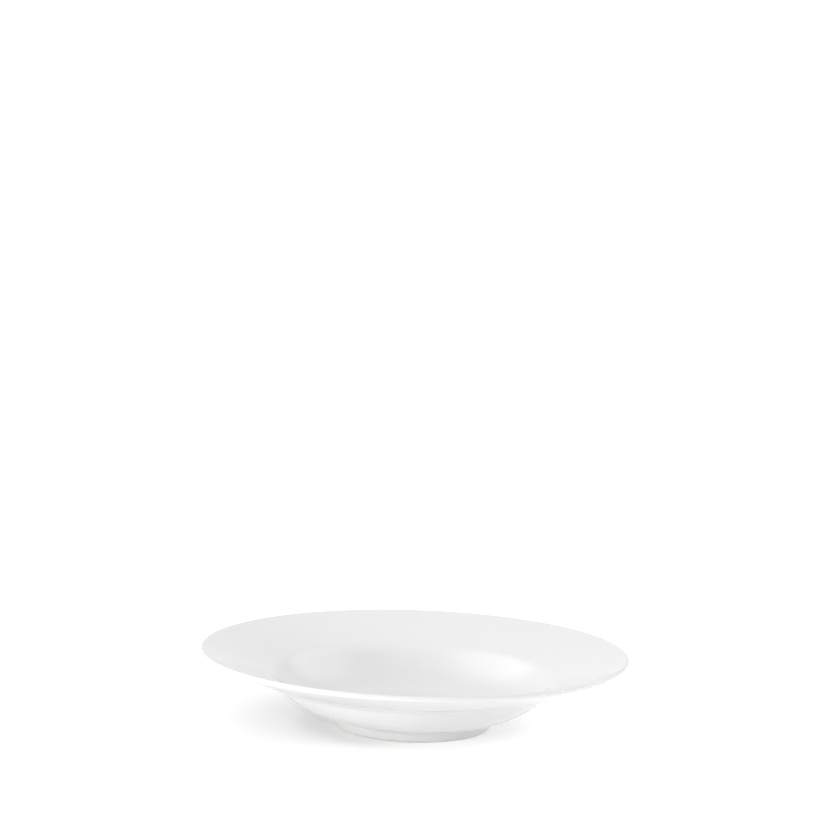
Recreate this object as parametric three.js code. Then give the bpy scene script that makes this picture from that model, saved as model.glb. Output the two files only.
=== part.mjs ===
// Deep plate: a wide-rimmed soup or pasta plate in glazed porcelain, turned about +Z.
// Millimetres, +Z up. The origin is the middle of the ring that stands on the table.
import * as THREE from "three";

// Overall sizes, over the glaze
const PLATE_DIAMETER = 300;
const PLATE_HEIGHT = 53.5;

// Rim: a broad cone from the edge of the well up to the lip, thicker towards the well
const RIM_WIDTH = 52.25; // seen from above, from the edge of the well to the outside of the lip
const RIM_RISE = 18; // from the edge of the well up to the top of the lip
const RIM_THICKNESS = 5; // where the underside begins to turn down
const LIP_THICKNESS = 3.6;
const WELL_EDGE_ROUND = 5.5; // how far the rounding of the well's edge runs along the rim and the wall
const SHOULDER_REACH = 18; // how far outside the well's edge the rim's underside begins to turn down
const SHOULDER_SWEEP = 7.4; // how far the underside and the wall keep their slopes into that turn

// Well: a level floor that sweeps up into a wall
const WALL_ANGLE = 46.5; // degrees from level where the wall is steepest, just under its edge
const WALL_THICKNESS = 4.3;
const WALL_FULLNESS = 0.92; // the share of its way down to the floor that the wall keeps its slope
const FLOOR_DIAMETER = 84; // the level middle
const FLOOR_FULLNESS = 0.43; // the share of its way out to the wall's line that the floor keeps level
const BASE_THICKNESS = 5.2; // floor of the well down to the hollow inside the foot ring

// Foot ring: the bare clay that stands on the table
const FOOT_DIAMETER = 107; // outside, at the table
const FOOT_WIDTH = 4;
const FOOT_OUTER_SLOPE = 20; // degrees off upright
const FOOT_INNER_SLOPE = 30;
const FOOT_EDGE_ROUND = 0.8;
const FOOT_FILLET = 2; // in the corner between the ring and the outside of the wall
const RECESS_DEPTH = 5.8; // hollow inside the ring
const RECESS_FILLET = 4;

// Glaze
const GLAZE_THICKNESS = 0.3;
const GLAZE_LINE = 1.5; // the ring is wiped bare from the table up to this height, on both sides
const BOND_GAP = 0.02; // keeps the clay and the glaze on it apart as solids

// Facets
const TURN_STEPS = 48;
const SWEEP_STEPS = 6;
const SHOULDER_STEPS = 4;
const ROUND_STEPS = 3;
const BISECTIONS = 40;
const SAME_POINT = 0.01; // points nearer to each other than this are one

const wallAngle = THREE.MathUtils.degToRad(WALL_ANGLE);
const footOuterSlope = THREE.MathUtils.degToRad(FOOT_OUTER_SLOPE);
const footInnerSlope = THREE.MathUtils.degToRad(FOOT_INNER_SLOPE);
const coat = GLAZE_THICKNESS + BOND_GAP;
const floorHeight = RECESS_DEPTH + BASE_THICKNESS;

// Sections are drawn in a half plane: x is the distance from the axis and y the height. Each runs
// clockwise, from the middle of the plate out and back underneath, so the material is on its right.
const point = (x, y) => new THREE.Vector2(x, y);
const heading = (angle) => point(Math.cos(angle), Math.sin(angle));
const along = (from, angle, distance) => from.clone().addScaledVector(heading(angle), distance);
const rightOf = (direction) => point(direction.y, -direction.x);

function joined(...runs) {
  return runs.flat().filter((p, i, all) => i === 0 || p.distanceTo(all[i - 1]) > SAME_POINT);
}

// Rounds the corner between two points on its sides.
function rounded(start, corner, end) {
  return new THREE.QuadraticBezierCurve(start, corner, end).getPoints(ROUND_STEPS);
}

// Moves a section into the material by a depth, with its corners mitred.
function inset(section, depth) {
  return section.map((p, i) => {
    const before = section[Math.max(i - 1, 0)];
    const after = section[Math.min(i + 1, section.length - 1)];
    const arriving = (i > 0 ? p.clone().sub(before) : after.clone().sub(p)).normalize();
    const leaving = (after !== p ? after.clone().sub(p) : arriving.clone()).normalize();
    const mitre = rightOf(arriving).add(rightOf(leaving)).normalize();
    return p.clone().addScaledVector(mitre, depth / mitre.dot(rightOf(arriving)));
  });
}

// Rim: its upper line leaves the edge of the well and touches the round of the lip from above.
// Its lower line leaves the shoulder and touches the lip from below.
const lipRound = LIP_THICKNESS / 2;
const lipCentre = point(PLATE_DIAMETER / 2 - lipRound, PLATE_HEIGHT - lipRound);
const wellEdge = point(PLATE_DIAMETER / 2 - RIM_WIDTH, PLATE_HEIGHT - RIM_RISE);
const edgeToLip = lipCentre.clone().sub(wellEdge);
const rimAngle = edgeToLip.angle() + Math.asin(lipRound / edgeToLip.length());
const shoulderTop = along(wellEdge, rimAngle, SHOULDER_REACH / Math.cos(rimAngle));
const shoulderStart = along(shoulderTop, rimAngle - Math.PI / 2, RIM_THICKNESS);
const shoulderToLip = lipCentre.clone().sub(shoulderStart);
const underAngle = shoulderToLip.angle() - Math.asin(lipRound / shoulderToLip.length());

// Lip: a round edge, with points at its very top and at its widest
function lipArc(from, to) {
  const arc = new THREE.EllipseCurve(lipCentre.x, lipCentre.y, lipRound, lipRound, from, to, true);
  return arc.getPoints(ROUND_STEPS);
}

const lip = joined(
  [along(lipCentre, rimAngle + Math.PI / 2, lipRound)],
  lipArc(Math.PI / 2, 0),
  lipArc(0, underAngle - Math.PI / 2),
);

// Well: a level floor, a wall that leans on the corner where its line would meet that level, and
// a rounded edge
const wallTop = along(wellEdge, wallAngle, -WELL_EDGE_ROUND);
const rimStart = along(wellEdge, rimAngle, WELL_EDGE_ROUND);
const floorEnd = point(FLOOR_DIAMETER / 2, floorHeight);
const wallCorner = along(wallTop, wallAngle, (floorHeight - wallTop.y) / Math.sin(wallAngle));
const wall = new THREE.CubicBezierCurve(
  floorEnd,
  floorEnd.clone().lerp(wallCorner, FLOOR_FULLNESS),
  wallTop.clone().lerp(wallCorner, WALL_FULLNESS),
  wallTop,
);
const upperFace = joined(
  [point(0, floorHeight)],
  wall.getPoints(SWEEP_STEPS),
  rounded(wallTop, wellEdge, rimStart),
);

// Back of the wall: one wall thickness behind the well, down to the foot ring
const backOfWall = (t) => wall.getPoint(t).addScaledVector(rightOf(wall.getTangent(t)), WALL_THICKNESS);
const footFace = (height) =>
  FOOT_DIAMETER / 2 + coat / Math.cos(footOuterSlope) + height * Math.tan(footOuterSlope);

// Finds where the back of the wall comes within a distance of the foot ring's outer face.
function backMeetsFoot(distance) {
  let inside = 0;
  let outside = 1;
  for (let i = 0; i < BISECTIONS; i += 1) {
    const middle = (inside + outside) / 2;
    const p = backOfWall(middle);
    if (p.x - footFace(p.y) > distance) {
      outside = middle;
    } else {
      inside = middle;
    }
  }
  return outside;
}

const footCorner = backOfWall(backMeetsFoot(0));
const backEnd = backMeetsFoot(FOOT_FILLET);
const back = Array.from({ length: SWEEP_STEPS + 1 }, (_, i) =>
  backOfWall(THREE.MathUtils.lerp(1, backEnd, i / SWEEP_STEPS)),
);
const footFaceTop = along(footCorner, Math.PI / 2 - footOuterSlope, -FOOT_FILLET);

// Shoulder: the underside of the rim sweeps down into the back of the wall
const shoulder = new THREE.CubicBezierCurve(
  shoulderStart,
  along(shoulderStart, underAngle, -SHOULDER_SWEEP),
  along(back[0], wallAngle, SHOULDER_SWEEP),
  back[0],
).getPoints(SHOULDER_STEPS);

// All that the main coat covers, and all that the patch inside the foot ring covers
const coated = joined(
  upperFace,
  lip,
  shoulder,
  back,
  rounded(back[SWEEP_STEPS], footCorner, footFaceTop),
  [point(footFace(GLAZE_LINE), GLAZE_LINE)],
);
const innerFace = (height) =>
  FOOT_DIAMETER / 2 - FOOT_WIDTH - coat / Math.cos(footInnerSlope) - height * Math.tan(footInnerSlope);
const recessCorner = point(innerFace(RECESS_DEPTH), RECESS_DEPTH);
const patched = joined(
  [point(innerFace(GLAZE_LINE), GLAZE_LINE)],
  rounded(
    along(recessCorner, Math.PI / 2 + footInnerSlope, -RECESS_FILLET),
    recessCorner,
    along(recessCorner, Math.PI, RECESS_FILLET),
  ),
  [point(0, RECESS_DEPTH)],
);

// Bare clay of the foot ring, from one glaze line round to the other
const footOuterEdge = point(FOOT_DIAMETER / 2, 0);
const footInnerEdge = point(FOOT_DIAMETER / 2 - FOOT_WIDTH, 0);
const bareFoot = joined(
  rounded(
    along(footOuterEdge, Math.PI / 2 - footOuterSlope, FOOT_EDGE_ROUND),
    footOuterEdge,
    along(footOuterEdge, Math.PI, FOOT_EDGE_ROUND),
  ),
  rounded(
    along(footInnerEdge, 0, FOOT_EDGE_ROUND),
    footInnerEdge,
    along(footInnerEdge, Math.PI / 2 + footInnerSlope, FOOT_EDGE_ROUND),
  ),
);

// Turns a section about the axis. A lathe turns upwards and about Y, so the section is reversed
// and the solid is tipped over to stand on Z.
function turned(section) {
  return new THREE.LatheGeometry(section.toReversed(), TURN_STEPS).rotateX(Math.PI / 2);
}

function piece(name, section, look) {
  const mesh = new THREE.Mesh(turned(section), new THREE.MeshStandardMaterial(look));
  mesh.name = name;
  return mesh;
}

const bodySection = joined(inset(coated, coat), bareFoot, inset(patched, coat));
const coatSection = [...coated, ...inset(coated, GLAZE_THICKNESS).reverse()];
const patchSection = [...inset(patched, GLAZE_THICKNESS).reverse(), ...patched];

const plate = new THREE.Group();
plate.add(
  piece("porcelain_body", bodySection, { color: 0xe9e6df, roughness: 0.6, metalness: 0 }),
  piece("glaze_coat", coatSection, { color: 0xf2f2f1, roughness: 0.1, metalness: 0 }),
  piece("base_glaze", patchSection, { color: 0xf2f2f1, roughness: 0.12, metalness: 0 }),
);

export default plate;
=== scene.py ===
# Deep plate in white glazed porcelain, standing on a white floor in soft studio light.
import math

import bpy
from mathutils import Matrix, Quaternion, Vector
from mathutils.geometry import interpolate_bezier


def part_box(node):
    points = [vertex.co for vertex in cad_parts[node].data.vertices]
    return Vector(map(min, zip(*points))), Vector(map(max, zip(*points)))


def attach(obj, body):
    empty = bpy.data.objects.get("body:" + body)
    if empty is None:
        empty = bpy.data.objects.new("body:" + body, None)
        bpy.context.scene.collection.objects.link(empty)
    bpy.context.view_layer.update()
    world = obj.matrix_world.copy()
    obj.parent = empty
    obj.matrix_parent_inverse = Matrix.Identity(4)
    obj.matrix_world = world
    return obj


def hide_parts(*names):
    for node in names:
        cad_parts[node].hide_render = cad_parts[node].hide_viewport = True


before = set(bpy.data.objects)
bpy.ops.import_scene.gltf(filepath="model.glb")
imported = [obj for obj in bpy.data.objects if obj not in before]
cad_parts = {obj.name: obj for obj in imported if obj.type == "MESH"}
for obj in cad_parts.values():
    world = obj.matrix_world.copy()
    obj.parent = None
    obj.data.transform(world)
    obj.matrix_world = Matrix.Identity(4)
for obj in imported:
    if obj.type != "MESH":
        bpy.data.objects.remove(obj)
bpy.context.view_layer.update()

MM = 0.001
MICRON = 0.001 * MM

# Overall sizes, from the frame
PLATE_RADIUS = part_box("glaze_coat")[1].x
PLATE_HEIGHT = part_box("glaze_coat")[1].z

# Rim: a broad cone from the edge of the well up to a round lip
RIM_WIDTH = 52.25 * MM
RIM_RISE = 18 * MM
RIM_THICKNESS = 5 * MM  # where the underside begins to turn down
LIP_THICKNESS = 3.6 * MM
WELL_EDGE_ROUND = 5.5 * MM
SHOULDER_REACH = 18 * MM  # how far outside the well's edge the underside begins to turn down
SHOULDER_SWEEP = 7.4 * MM  # how far the underside and the wall keep their slopes into that turn

# Well: a level floor that sweeps up into a wall
WALL_ANGLE = math.radians(46.5)  # from level, where the wall is steepest
WALL_THICKNESS = 4.3 * MM
WALL_FULLNESS = 0.92  # the share of its way down to the floor that the wall keeps its slope
FLOOR_RADIUS = 42 * MM  # the level middle
FLOOR_FULLNESS = 0.43  # the share of its way out to the wall's line that the floor keeps level
BASE_THICKNESS = 5.2 * MM

# Foot ring: the bare clay that stands on the table
FOOT_RADIUS = 53.5 * MM
FOOT_WIDTH = 4 * MM
FOOT_OUTER_SLOPE = math.radians(20)  # off upright
FOOT_INNER_SLOPE = math.radians(30)
FOOT_EDGE_ROUND = 0.8 * MM
FOOT_FILLET = 2 * MM
RECESS_DEPTH = 5.8 * MM  # the hollow inside the ring
RECESS_FILLET = 4 * MM

# Glaze
GLAZE_THICKNESS = 0.3 * MM
GLAZE_NOSE = GLAZE_THICKNESS / 2  # how far its rounded ends reach
GLAZE_LINE = 1.5 * MM  # the ring is wiped bare up to this height
BOND_GAP = 0.02 * MM  # between the clay and the glaze on it
COAT = GLAZE_THICKNESS + BOND_GAP

# Fineness of the turned meshes
SPIN_STEPS = 240
SWEEP_STEPS = 24
ROUND_STEPS = 8
SAME_POINT = 0.001 * MM  # points nearer to each other than this are one
CORNER_PULL = 2 / 3  # how far towards its corner a round is drawn, so that it is part of a parabola

# Patterns and tones of the materials
GLAZE_CLOUD = 45 * MM  # drift of tone from a coat that is thicker in places
GLAZE_WEAR = 25 * MM
GLAZE_RIPPLE = 7 * MM  # gentle waves that the glaze keeps as it sets
CLAY_TONES = ("E9E6DF", "DDD9D1")
CLAY_ROUGHNESS = (0.5, 0.75)
CLAY_GRIT = 0.5 * MM  # the real grit is nearer to 0.1 mm, too fine to show
CLAY_GRIT_HEIGHT = 15 * MICRON
WIPE_RINGS = 0.7 * MM
WAVE_TURN = math.pi / 10  # a wave pattern of scale 1 has rings this far apart
PORCELAIN_IOR = 1.5  # for the glaze and the fired clay alike
MIX_A, MIX_B, MIXED = 6, 7, 2  # a Mix node's colour sockets, by number because their names repeat

# Camera: where it stands from the middle of the rim, and the pixel on which that middle falls
IMAGE_SIDE = 826
RIM_PIXEL = (414.65, 649.06)
CAMERA_DISTANCE = 1.6
CAMERA_ELEVATION = math.radians(11.62)
CAMERA_ROLL = math.radians(1.83)
LENS = 99.1
SENSOR = 36

# Softboxes: azimuth (0 is the camera's side, -90 the left) and elevation of the place, distance,
# width, height, and share of full white that a surface facing the lamp gets
LAMPS = {
    "left_softbox": (-105, 47, 1.6, 2.8, 2.1, 0.35),
    "right_softbox": (120, 40, 1.6, 2.4, 1.7, 0.24),
    "front_low_softbox": (-45, 12, 1.4, 1.0, 0.5, 0.43),
    "right_low_softbox": (75, 10, 1.4, 1.2, 0.4, 0.1),
    "floor_softbox": (80, 14, 1.3, 1.0, 0.4, 0.76),  # falls on the floor alone
}
SOFTBOX_PEAK = 2.5  # brightness of a softbox in its middle, which makes up for its dim edges
SOFTBOX_FADE = (0.2, 0.5)  # where it fades from that to none, in shares of its sides from the middle
ROOM_LIGHT = 0.52  # even light from all round, as a share of full white

# Floor: the light that is added to it as it is seen
FLOOR_SIDE = 12
NEAR_LIFT = 0.17  # under the plate
FAR_LIFT = 0.6  # far from the plate
LIFT_REACH = (0.1, 0.5)  # how far from the plate's middle the one goes over to the other


# Sections are drawn in a half plane: x is the distance from the axis and y the height. Each runs
# clockwise, from the middle of the plate out and back underneath, so the material is on its right.
def heading(angle):
    return Vector((math.cos(angle), math.sin(angle)))


def slope(direction):
    return math.atan2(direction.y, direction.x)


def right_of(direction):
    return Vector((direction.y, -direction.x)).normalized()


def joined(*runs):
    """Strings runs of points together, without points that repeat."""
    points = [p for run in runs for p in run]
    return [p for i, p in enumerate(points) if i == 0 or (p - points[i - 1]).length > SAME_POINT]


def curve(start, start_handle, end_handle, end, steps=SWEEP_STEPS):
    return interpolate_bezier(start, start_handle, end_handle, end, steps + 1)


def rounded(start, corner, end):
    """Rounds the corner between two points on its sides."""
    start_handle = start.lerp(corner, CORNER_PULL)
    end_handle = end.lerp(corner, CORNER_PULL)
    return curve(start, start_handle, end_handle, end, ROUND_STEPS)


def inset(section, depth):
    """Moves a section into the material by a depth, with its corners mitred."""
    moved = []
    for i, p in enumerate(section):
        arriving = right_of(p - section[i - 1]) if i > 0 else right_of(section[1] - p)
        leaving = right_of(section[i + 1] - p) if i + 1 < len(section) else arriving
        mitre = (arriving + leaving).normalized()
        moved.append(p + mitre * (depth / mitre.dot(arriving)))
    return moved


def nose(start, end):
    """Ends a glaze with a round nose between its two faces."""
    reach = right_of(start - end) * GLAZE_NOSE
    tip = (start + end) / 2 + reach
    return rounded(start, start + reach, tip) + rounded(tip, end + reach, end)


def arc(centre, radius, start, end, steps):
    return [centre + heading(start + (end - start) * i / steps) * radius for i in range(steps + 1)]


# Rim and lip: the rim's upper line touches the round of the lip from above, its lower line from below
lip_round = LIP_THICKNESS / 2
lip_centre = Vector((PLATE_RADIUS - lip_round, PLATE_HEIGHT - lip_round))
well_edge = Vector((PLATE_RADIUS - RIM_WIDTH, PLATE_HEIGHT - RIM_RISE))
edge_to_lip = lip_centre - well_edge
rim_angle = slope(edge_to_lip) + math.asin(lip_round / edge_to_lip.length)
shoulder_top = well_edge + heading(rim_angle) * (SHOULDER_REACH / math.cos(rim_angle))
shoulder_start = shoulder_top + right_of(heading(rim_angle)) * RIM_THICKNESS
shoulder_to_lip = lip_centre - shoulder_start
under_angle = slope(shoulder_to_lip) - math.asin(lip_round / shoulder_to_lip.length)
lip = joined(
    arc(lip_centre, lip_round, rim_angle + math.pi / 2, 0, 2 * ROUND_STEPS),
    arc(lip_centre, lip_round, 0, under_angle - math.pi / 2, ROUND_STEPS),
)

# Well
floor_height = RECESS_DEPTH + BASE_THICKNESS
wall_top = well_edge - heading(WALL_ANGLE) * WELL_EDGE_ROUND
rim_start = well_edge + heading(rim_angle) * WELL_EDGE_ROUND
floor_end = Vector((FLOOR_RADIUS, floor_height))
wall_corner = wall_top + heading(WALL_ANGLE) * ((floor_height - wall_top.y) / math.sin(WALL_ANGLE))
wall = curve(
    floor_end,
    floor_end.lerp(wall_corner, FLOOR_FULLNESS),
    wall_top.lerp(wall_corner, WALL_FULLNESS),
    wall_top,
)
upper_face = joined([Vector((0, floor_height))], wall, rounded(wall_top, well_edge, rim_start))


# Back of the wall, one wall thickness behind the well, down to the outside of the foot ring
def foot_face(height):
    return FOOT_RADIUS + COAT / math.cos(FOOT_OUTER_SLOPE) + height * math.tan(FOOT_OUTER_SLOPE)


whole_back = inset(wall, WALL_THICKNESS)
back = [p for p in reversed(whole_back) if p.x - foot_face(p.y) > FOOT_FILLET]
last = back[-1]
beyond = whole_back[len(whole_back) - len(back) - 1]
clear = [p.x - foot_face(p.y) for p in (last, beyond)]
back.append(last.lerp(beyond, (clear[0] - FOOT_FILLET) / (clear[0] - clear[1])))
foot_corner = last.lerp(beyond, clear[0] / (clear[0] - clear[1]))
foot_face_top = foot_corner - heading(math.pi / 2 - FOOT_OUTER_SLOPE) * FOOT_FILLET
shoulder = curve(
    shoulder_start,
    shoulder_start - heading(under_angle) * SHOULDER_SWEEP,
    back[0] + heading(WALL_ANGLE) * SHOULDER_SWEEP,
    back[0],
)

# All that the main coat covers, and all that the patch inside the foot ring covers
coated = joined(
    upper_face,
    lip,
    shoulder,
    back,
    rounded(back[-1], foot_corner, foot_face_top),
    [Vector((foot_face(GLAZE_LINE), GLAZE_LINE))],
)


def inner_face(height):
    slant = COAT / math.cos(FOOT_INNER_SLOPE) + height * math.tan(FOOT_INNER_SLOPE)
    return FOOT_RADIUS - FOOT_WIDTH - slant


recess_corner = Vector((inner_face(RECESS_DEPTH), RECESS_DEPTH))
patched = joined(
    [Vector((inner_face(GLAZE_LINE), GLAZE_LINE))],
    rounded(
        recess_corner - heading(math.pi / 2 + FOOT_INNER_SLOPE) * RECESS_FILLET,
        recess_corner,
        recess_corner + heading(math.pi) * RECESS_FILLET,
    ),
    [Vector((0, RECESS_DEPTH))],
)

# Bare clay of the foot ring, from one glaze line round to the other
foot_outer_edge = Vector((FOOT_RADIUS, 0))
foot_inner_edge = Vector((FOOT_RADIUS - FOOT_WIDTH, 0))
bare_foot = joined(
    rounded(
        foot_outer_edge + heading(math.pi / 2 - FOOT_OUTER_SLOPE) * FOOT_EDGE_ROUND,
        foot_outer_edge,
        foot_outer_edge + heading(math.pi) * FOOT_EDGE_ROUND,
    ),
    rounded(
        foot_inner_edge + heading(0) * FOOT_EDGE_ROUND,
        foot_inner_edge,
        foot_inner_edge + heading(math.pi / 2 + FOOT_INNER_SLOPE) * FOOT_EDGE_ROUND,
    ),
)

# Whole sections of the three pieces
coat_inside = inset(coated, GLAZE_THICKNESS)
patch_inside = inset(patched, GLAZE_THICKNESS)
body_section = joined(inset(coated, COAT), bare_foot, inset(patched, COAT))
coat_section = joined(coated, nose(coated[-1], coat_inside[-1]), reversed(coat_inside))
patch_section = joined(reversed(patch_inside), nose(patch_inside[0], patched[0]), patched)


def turned(name, section):
    """Draws a section point by point in the plane of X and Z, and spins it about Z."""
    bpy.ops.object.select_all(action="DESELECT")
    bpy.ops.mesh.primitive_plane_add(size=BOND_GAP, location=(section[0].x, 0, section[0].y))
    piece = bpy.context.object
    piece.name = piece.data.name = name
    bpy.ops.object.mode_set(mode="EDIT")
    bpy.ops.mesh.select_all(action="SELECT")
    bpy.ops.mesh.merge(type="CENTER")
    for here, there in zip(section, section[1:]):
        step = there - here
        bpy.ops.mesh.extrude_vertices_move(TRANSFORM_OT_translate={"value": (step.x, 0, step.y)})
    bpy.ops.mesh.select_all(action="SELECT")
    bpy.ops.mesh.spin(steps=SPIN_STEPS, angle=math.tau, center=(0, 0, 0), axis=(0, 0, 1))
    bpy.ops.mesh.select_all(action="SELECT")
    bpy.ops.mesh.remove_doubles(threshold=SAME_POINT)
    bpy.ops.mesh.normals_make_consistent(inside=False)
    bpy.ops.object.mode_set(mode="OBJECT")
    bpy.ops.object.transform_apply(location=True, rotation=True, scale=True)
    bpy.ops.object.shade_smooth()
    return piece


# Materials
def colour(hex_code):
    """Turns an sRGB hex code into linear colour."""
    parts = [int(hex_code[i : i + 2], 16) / 255 for i in (0, 2, 4)]
    return [c / 12.92 if c <= 0.04045 else ((c + 0.055) / 1.055) ** 2.4 for c in parts] + [1]


def add(tree, kind, settings=None, inputs=None):
    """Adds a node with its settings, and gives each input a value or a link."""
    made = tree.nodes.new(kind)
    for name, value in (settings or {}).items():
        setattr(made, name, value)
    for name, value in (inputs or {}).items():
        if isinstance(value, bpy.types.NodeSocket):
            tree.links.new(value, made.inputs[name])
        else:
            made.inputs[name].default_value = value
    return made


def new_material(name):
    material = bpy.data.materials.new(name)
    material.use_nodes = True
    material.node_tree.nodes.clear()
    return material, material.node_tree


def gloss_glaze(name, whites, pool_and_shade_grey, pool_and_shade_heights, polish, ripple_height):
    """Clear feldspar glaze over white porcelain, dipped and fired until it flows.

    It gives a clean, neutral white with a mirror-like skin. The skin is not quite flat, so edges of
    light waver a little. It is greyer low down, where it ran down and lies thick, and that grey is
    also painted shade of the corners by the foot ring. It is a little duller where hands and
    cutlery have been.
    """
    material, tree = new_material(name)
    place = add(tree, "ShaderNodeTexCoord").outputs["Object"]
    height = add(tree, "ShaderNodeSeparateXYZ", inputs={0: place}).outputs["Z"]
    cloud = add(
        tree,
        "ShaderNodeTexNoise",
        inputs={"Vector": place, "Scale": 1 / GLAZE_CLOUD, "Detail": 2},
    )
    tone = add(
        tree,
        "ShaderNodeMix",
        {"data_type": "RGBA"},
        {"Factor": cloud.outputs["Fac"], MIX_A: colour(whites[0]), MIX_B: colour(whites[1])},
    )
    # Painted shade, in part: below these heights the glaze goes greyer. This stands for glaze that ran
    # down and lies thick, and also for painted shade of the low corners by the foot ring.
    pool_and_shade = add(
        tree,
        "ShaderNodeMapRange",
        {"interpolation_type": "SMOOTHSTEP"},
        {
            "Value": height,
            "From Min": pool_and_shade_heights[0],
            "From Max": pool_and_shade_heights[1],
            "To Min": 1,
            "To Max": 0,
        },
    )
    pool_and_shade_tone = add(
        tree,
        "ShaderNodeMix",
        {"data_type": "RGBA"},
        {"Factor": pool_and_shade.outputs["Result"], MIX_A: tone.outputs[MIXED], MIX_B: colour(pool_and_shade_grey)},
    )
    wear = add(
        tree,
        "ShaderNodeTexNoise",
        inputs={"Vector": place, "Scale": 1 / GLAZE_WEAR, "Detail": 3},
    )
    roughness = add(
        tree,
        "ShaderNodeMapRange",
        inputs={"Value": wear.outputs["Fac"], "To Min": polish[0], "To Max": polish[1]},
    )
    ripple = add(
        tree,
        "ShaderNodeTexNoise",
        inputs={"Vector": place, "Scale": 1 / GLAZE_RIPPLE, "Detail": 1},
    )
    skin = add(
        tree,
        "ShaderNodeBump",
        inputs={"Height": ripple.outputs["Fac"], "Distance": ripple_height},
    )
    shader = add(
        tree,
        "ShaderNodeBsdfPrincipled",
        inputs={
            "Base Color": pool_and_shade_tone.outputs[MIXED],
            "Roughness": roughness.outputs["Result"],
            "IOR": PORCELAIN_IOR,
            "Normal": skin.outputs["Normal"],
        },
    )
    add(tree, "ShaderNodeOutputMaterial", inputs={"Surface": shader.outputs["BSDF"]})
    return material


def bare_porcelain():
    """Fired porcelain that was wiped clean of glaze before the kiln, then ground on a belt.

    It gives a dull, slightly warm white with a fine grit, faint rings from wiping and sliding, and
    no clear reflection.
    """
    material, tree = new_material("bare_porcelain")
    place = add(tree, "ShaderNodeTexCoord").outputs["Object"]
    rings = add(
        tree,
        "ShaderNodeTexWave",
        {"wave_type": "RINGS", "rings_direction": "Z"},
        {
            "Vector": place,
            "Scale": WAVE_TURN / WIPE_RINGS,
            "Distortion": 3,
            "Detail": 2,
            "Detail Scale": 0.2,
        },
    )
    tone = add(
        tree,
        "ShaderNodeMix",
        {"data_type": "RGBA"},
        {"Factor": rings.outputs["Fac"], MIX_A: colour(CLAY_TONES[0]), MIX_B: colour(CLAY_TONES[1])},
    )
    grit = add(
        tree,
        "ShaderNodeTexNoise",
        inputs={"Vector": place, "Scale": 1 / CLAY_GRIT, "Detail": 3},
    )
    roughness = add(
        tree,
        "ShaderNodeMapRange",
        inputs={"Value": grit.outputs["Fac"], "To Min": CLAY_ROUGHNESS[0], "To Max": CLAY_ROUGHNESS[1]},
    )
    skin = add(
        tree,
        "ShaderNodeBump",
        inputs={"Height": grit.outputs["Fac"], "Distance": CLAY_GRIT_HEIGHT},
    )
    shader = add(
        tree,
        "ShaderNodeBsdfPrincipled",
        inputs={
            "Base Color": tone.outputs[MIXED],
            "Roughness": roughness.outputs["Result"],
            "IOR": PORCELAIN_IOR,
            "Normal": skin.outputs["Normal"],
        },
    )
    add(tree, "ShaderNodeOutputMaterial", inputs={"Surface": shader.outputs["BSDF"]})
    return material


def seen_directly(tree):
    """Gives 1 to rays that show a surface to the camera, straight, in a reflection or through glass."""
    rays = add(tree, "ShaderNodeLightPath").outputs
    mirrored = add(
        tree,
        "ShaderNodeMath",
        {"operation": "MAXIMUM"},
        {0: rays["Is Glossy Ray"], 1: rays["Is Transmission Ray"]},
    )
    seen = add(
        tree,
        "ShaderNodeMath",
        {"operation": "MAXIMUM"},
        {0: rays["Is Camera Ray"], 1: mirrored.outputs[0]},
    )
    return seen.outputs[0]


def white_floor():
    """Matt white paper. It is seen lifted to full white, but less near the plate, to keep the shadow."""
    material, tree = new_material("white_floor")
    paint = add(tree, "ShaderNodeBsdfDiffuse", inputs={"Color": colour("F5F5F5")})
    place = add(tree, "ShaderNodeTexCoord").outputs["Object"]
    from_plate = add(tree, "ShaderNodeVectorMath", {"operation": "LENGTH"}, {0: place})
    lift = add(
        tree,
        "ShaderNodeMapRange",
        {"interpolation_type": "SMOOTHSTEP"},
        {
            "Value": from_plate.outputs["Value"],
            "From Min": LIFT_REACH[0],
            "From Max": LIFT_REACH[1],
            "To Min": NEAR_LIFT,
            "To Max": FAR_LIFT,
        },
    )
    seen_lift = add(
        tree,
        "ShaderNodeMath",
        {"operation": "MULTIPLY"},
        {0: seen_directly(tree), 1: lift.outputs["Result"]},
    )
    glow = add(tree, "ShaderNodeEmission", inputs={"Strength": seen_lift.outputs[0]})
    both = add(tree, "ShaderNodeAddShader", inputs={0: paint.outputs[0], 1: glow.outputs[0]})
    add(tree, "ShaderNodeOutputMaterial", inputs={"Surface": both.outputs[0]})
    return material


# The plate
glaze = gloss_glaze(
    "white_gloss_glaze",
    whites=("F1F1F1", "EFEFEF"),
    # Greyer glaze low on the outside, where the wall meets the foot ring: thick glaze, and painted shade
    # of that corner
    pool_and_shade_grey="EDEEED",
    pool_and_shade_heights=(4 * MM, 9 * MM),
    polish=(0.06, 0.11),
    ripple_height=3 * MICRON,
)
under_glaze = gloss_glaze(
    "white_base_glaze",
    whites=("F0F0EF", "EDEDEC"),
    # Greyer glaze low on the inside face of the foot ring: thick glaze, and painted shade there
    pool_and_shade_grey="E8E9E8",
    pool_and_shade_heights=(2 * MM, 5 * MM),
    polish=(0.08, 0.16),
    ripple_height=6 * MICRON,
)
plate = {
    "porcelain_body": (body_section, bare_porcelain(), "bare_porcelain"),
    "glaze_coat": (coat_section, glaze, "clear_glaze"),
    "base_glaze": (patch_section, under_glaze, "base_glaze"),
}
for node, (section, material, slot) in plate.items():
    piece = turned("plate_" + node, section)
    piece.data.materials.append(material)
    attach(piece, "root")
    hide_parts(node)

# Floor
bpy.ops.object.select_all(action="DESELECT")
bpy.ops.mesh.primitive_plane_add(size=FLOOR_SIDE)
floor = bpy.context.object
floor.name = "floor"
floor.data.materials.append(white_floor())


# Light
def direction_to(azimuth, elevation):
    a = math.radians(azimuth)
    e = math.radians(elevation)
    return Vector((math.sin(a) * math.cos(e), -math.cos(a) * math.cos(e), math.sin(e)))


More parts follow.
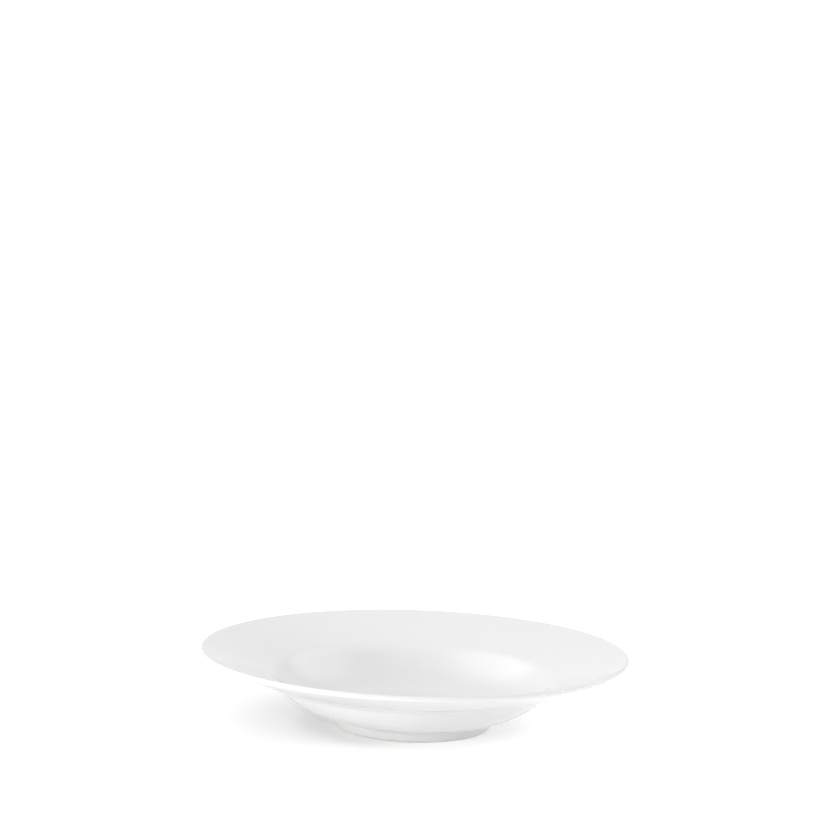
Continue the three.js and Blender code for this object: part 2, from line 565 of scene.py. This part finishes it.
def soft_edged(light):
    """Lets the light of a softbox fade from its middle to its edge."""
    light.use_nodes = True
    tree = light.node_tree
    tree.nodes.clear()
    spot = add(tree, "ShaderNodeNewGeometry").outputs["Parametric"]
    middle = (0.5, 0.5, 0)
    off_middle = add(tree, "ShaderNodeVectorMath", {"operation": "DISTANCE"}, {0: spot, 1: middle})
    fade = add(
        tree,
        "ShaderNodeMapRange",
        {"interpolation_type": "SMOOTHSTEP"},
        {
            "Value": off_middle.outputs["Value"],
            "From Min": SOFTBOX_FADE[0],
            "From Max": SOFTBOX_FADE[1],
            "To Min": SOFTBOX_PEAK,
            "To Max": 0,
        },
    )
    glow = add(tree, "ShaderNodeEmission", inputs={"Strength": fade.outputs["Result"]})
    add(tree, "ShaderNodeOutputLight", inputs={"Surface": glow.outputs[0]})


for name, (azimuth, elevation, distance, width, height, share) in LAMPS.items():
    away = direction_to(azimuth, elevation)
    bpy.ops.object.light_add(type="AREA", location=away * distance)
    lamp = bpy.context.object
    lamp.name = lamp.data.name = name
    lamp.rotation_mode = "QUATERNION"
    lamp.rotation_quaternion = (-away).to_track_quat("-Z", "Y")
    lamp.data.shape = "RECTANGLE"
    lamp.data.size = width
    lamp.data.size_y = height
    # A share of 1 would make a white surface that faces the lamp full white
    lamp.data.energy = share * (math.pi * distance) ** 2
    soft_edged(lamp.data)
    if name == "floor_softbox":
        lamp.light_linking.receiver_collection = bpy.data.collections.new("lit_floor")
        lamp.light_linking.receiver_collection.objects.link(floor)

world = bpy.data.worlds.new("studio")
bpy.context.scene.world = world
world.use_nodes = True
world.node_tree.nodes.clear()
strength = add(
    world.node_tree,
    "ShaderNodeMapRange",
    inputs={"Value": seen_directly(world.node_tree), "To Min": ROOM_LIGHT, "To Max": 1},
)
room = add(
    world.node_tree,
    "ShaderNodeBackground",
    inputs={"Color": colour("FFFFFF"), "Strength": strength.outputs["Result"]},
)
add(world.node_tree, "ShaderNodeOutputWorld", inputs={"Surface": room.outputs[0]})

# Camera, turned so that the middle of the rim falls on its pixel
bpy.ops.object.camera_add()
camera = bpy.context.object
camera.data.lens = LENS
camera.data.sensor_width = SENSOR
focal_pixels = LENS / SENSOR * IMAGE_SIDE
rim_aside = (RIM_PIXEL[0] - IMAGE_SIDE / 2) / focal_pixels
rim_above = (IMAGE_SIDE / 2 - RIM_PIXEL[1]) / focal_pixels
towards_rim = Vector((rim_aside, rim_above, -1))
behind = Vector((0, -math.cos(CAMERA_ELEVATION), math.sin(CAMERA_ELEVATION)))
camera.location = Vector((0, 0, PLATE_HEIGHT)) + behind * CAMERA_DISTANCE
camera.rotation_mode = "QUATERNION"
camera.rotation_quaternion = (
    (-behind).to_track_quat("-Z", "Y")
    @ Quaternion((0, 0, 1), CAMERA_ROLL)
    @ towards_rim.rotation_difference(Vector((0, 0, -1)))
)
bpy.context.scene.camera = camera
bpy.context.scene.view_settings.view_transform = "Standard"
